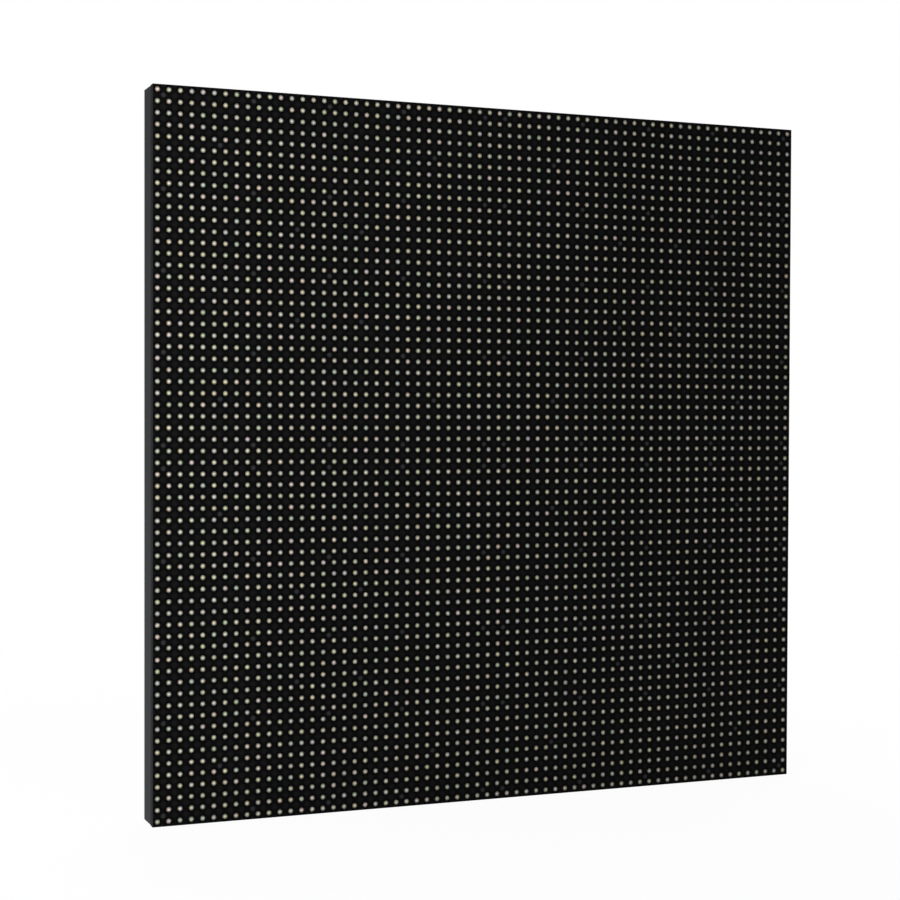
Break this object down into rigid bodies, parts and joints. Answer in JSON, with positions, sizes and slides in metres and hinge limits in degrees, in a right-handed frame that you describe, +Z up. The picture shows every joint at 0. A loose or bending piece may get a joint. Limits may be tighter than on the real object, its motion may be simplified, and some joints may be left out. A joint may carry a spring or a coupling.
{
  "type": "rgb led matrix panel",
  "caption": "Square indoor LED display module with a black lamp grid in front, a moulded rear frame, data and power headers and rear threaded inserts.",
  "frame": {"origin": "middle of the rear mounting face, between the four corner inserts", "axes": "+X to the viewer's right across the front, +Z up, +Y out of the rear face, so the lamps face -Y"},
  "size_m": [0.2554, 0.0135, 0.2554],
  "materials": {
    "mask_plastic": "fine moulded grain",
    "lamp_resin": "satin resin",
    "board_laminate": "solder mask",
    "frame_plastic": "fine moulded grain",
    "insert_brass": "turned",
    "screw_steel": "zinc plated",
    "header_plastic": "moulded",
    "gold_pin": "gold plated",
    "power_plastic": "moulded nylon",
    "tinned_pin": "tin plated",
    "chip_epoxy": "moulded epoxy",
    "can_aluminium": "drawn can",
    "chip_ceramic": "fired"
  },
  "bodies": {
    "root": {"mask": "mask_plastic", "lamp_columns": "lamp_resin", "led_board": "board_laminate", "rear_frame": "frame_plastic", "threaded_inserts": "insert_brass", "frame_screws": "screw_steel", "data_in_header": "header_plastic", "data_in_pins": "gold_pin", "data_out_header": "header_plastic", "data_out_pins": "gold_pin", "power_header": "power_plastic", "power_pins": "tinned_pin", "chip_capacitors": "chip_ceramic", "column_driver_1": "chip_epoxy", "column_driver_2": "chip_epoxy", "column_driver_3": "chip_epoxy", "column_driver_4": "chip_epoxy", "column_driver_5": "chip_epoxy", "column_driver_6": "chip_epoxy", "column_driver_7": "chip_epoxy", "column_driver_8": "chip_epoxy", "column_driver_9": "chip_epoxy", "column_driver_10": "chip_epoxy", "column_driver_11": "chip_epoxy", "column_driver_12": "chip_epoxy", "column_driver_13": "chip_epoxy", "column_driver_14": "chip_epoxy", "column_driver_15": "chip_epoxy", "column_driver_16": "chip_epoxy", "column_driver_17": "chip_epoxy", "column_driver_18": "chip_epoxy", "column_driver_19": "chip_epoxy", "column_driver_20": "chip_epoxy", "column_driver_21": "chip_epoxy", "column_driver_22": "chip_epoxy", "column_driver_23": "chip_epoxy", "column_driver_24": "chip_epoxy", "row_driver_1": "chip_epoxy", "row_driver_2": "chip_epoxy", "row_driver_3": "chip_epoxy", "row_driver_4": "chip_epoxy", "row_driver_5": "chip_epoxy", "row_driver_6": "chip_epoxy", "row_driver_7": "chip_epoxy", "row_driver_8": "chip_epoxy", "buffer_chip_1": "chip_epoxy", "buffer_chip_2": "chip_epoxy", "buffer_chip_3": "chip_epoxy", "buffer_chip_4": "chip_epoxy", "capacitor_1": "can_aluminium", "capacitor_2": "can_aluminium", "capacitor_3": "can_aluminium", "capacitor_4": "can_aluminium"}
  },
  "joints": []
}
